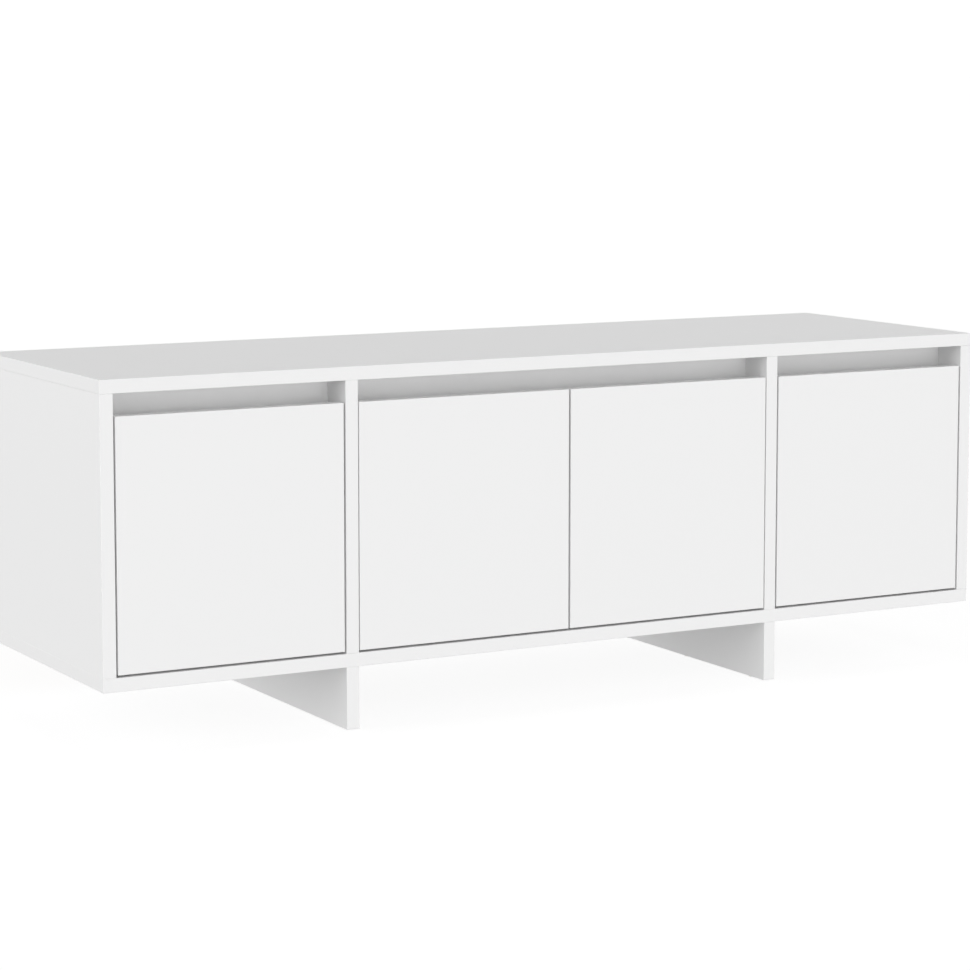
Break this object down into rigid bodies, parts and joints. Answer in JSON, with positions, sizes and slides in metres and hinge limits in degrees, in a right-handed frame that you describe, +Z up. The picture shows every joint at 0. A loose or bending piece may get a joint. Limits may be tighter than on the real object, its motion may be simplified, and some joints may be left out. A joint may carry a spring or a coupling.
{
  "type": "tv stand",
  "caption": "Low white television stand with inset doors on concealed hinges, a finger slot over the doors, and plank legs set in from the ends.",
  "frame": {"origin": "on the floor under the middle of the stand", "axes": "+Z up, +X to the right as the stand is faced, -Y out of the doors"},
  "size_m": [1.2, 0.37, 0.425],
  "materials": {
    "melamine_board": "satin white melamine-faced chipboard",
    "edge_band": "satin white ABS edge band",
    "hardboard": "hardboard, raw brown behind and white inside",
    "nail_steel": "bright wire nails",
    "zinc_casting": "die-cast zinc",
    "plated_steel": "zinc-plated steel",
    "beech": "bare turned beech",
    "glide_plastic": "moulded white polyethylene",
    "nickel_plated_steel": "pressed steel, nickel plated"
  },
  "bodies": {
    "cabinet": {"top_panel": "melamine_board", "bottom_panel": "melamine_board", "side_panel_left": "melamine_board", "side_panel_right": "melamine_board", "divider_left": "melamine_board", "divider_right": "melamine_board", "finger_rail_left": "melamine_board", "finger_rail_centre": "melamine_board", "finger_rail_right": "melamine_board", "leg_left": "melamine_board", "leg_right": "melamine_board", "top_panel_edge_bands": "edge_band", "bottom_panel_edge_bands": "edge_band", "side_panel_edge_bands": "edge_band", "divider_edge_bands": "edge_band", "finger_rail_edge_bands": "edge_band", "leg_edge_bands": "edge_band", "back_panel": "hardboard", "back_nails": "nail_steel", "cam_locks": "zinc_casting", "cam_bolts": "plated_steel", "dowels": "beech", "leg_screws": "plated_steel", "foot_glides": "glide_plastic", "hinge_arms_left": "nickel_plated_steel", "hinge_plates_left": "nickel_plated_steel", "hinge_arms_centre_left": "nickel_plated_steel", "hinge_plates_centre_left": "nickel_plated_steel", "hinge_arms_centre_right": "nickel_plated_steel", "hinge_plates_centre_right": "nickel_plated_steel", "hinge_arms_right": "nickel_plated_steel", "hinge_plates_right": "nickel_plated_steel", "hinge_plate_screws": "plated_steel", "hinge_arm_screws": "plated_steel"},
    "left_door": {"door_left": "melamine_board", "door_left_edge_bands": "edge_band", "hinge_cups_left": "nickel_plated_steel", "hinge_pins_left": "nickel_plated_steel", "hinge_cup_screws_left": "plated_steel"},
    "centre_left_door": {"door_centre_left": "melamine_board", "door_centre_left_edge_bands": "edge_band", "hinge_cups_centre_left": "nickel_plated_steel", "hinge_pins_centre_left": "nickel_plated_steel", "hinge_cup_screws_centre_left": "plated_steel"},
    "centre_right_door": {"door_centre_right": "melamine_board", "door_centre_right_edge_bands": "edge_band", "hinge_cups_centre_right": "nickel_plated_steel", "hinge_pins_centre_right": "nickel_plated_steel", "hinge_cup_screws_centre_right": "plated_steel"},
    "right_door": {"door_right": "melamine_board", "door_right_edge_bands": "edge_band", "hinge_cups_right": "nickel_plated_steel", "hinge_pins_right": "nickel_plated_steel", "hinge_cup_screws_right": "plated_steel"}
  },
  "joints": [
    {"name": "left_door_hinge", "type": "hinge", "parent": "cabinet", "child": "left_door", "pos_m": [-0.568, -0.1792, 0.2385], "axis": [0, 0, -1], "range_deg": [0, 95]},
    {"name": "centre_left_door_hinge", "type": "hinge", "parent": "cabinet", "child": "centre_left_door", "pos_m": [-0.267, -0.1792, 0.2385], "axis": [0, 0, -1], "range_deg": [0, 95]},
    {"name": "centre_right_door_hinge", "type": "hinge", "parent": "cabinet", "child": "centre_right_door", "pos_m": [0.267, -0.1792, 0.2385], "axis": [0, 0, 1], "range_deg": [0, 95]},
    {"name": "right_door_hinge", "type": "hinge", "parent": "cabinet", "child": "right_door", "pos_m": [0.568, -0.1792, 0.2385], "axis": [0, 0, 1], "range_deg": [0, 95]}
  ]
}
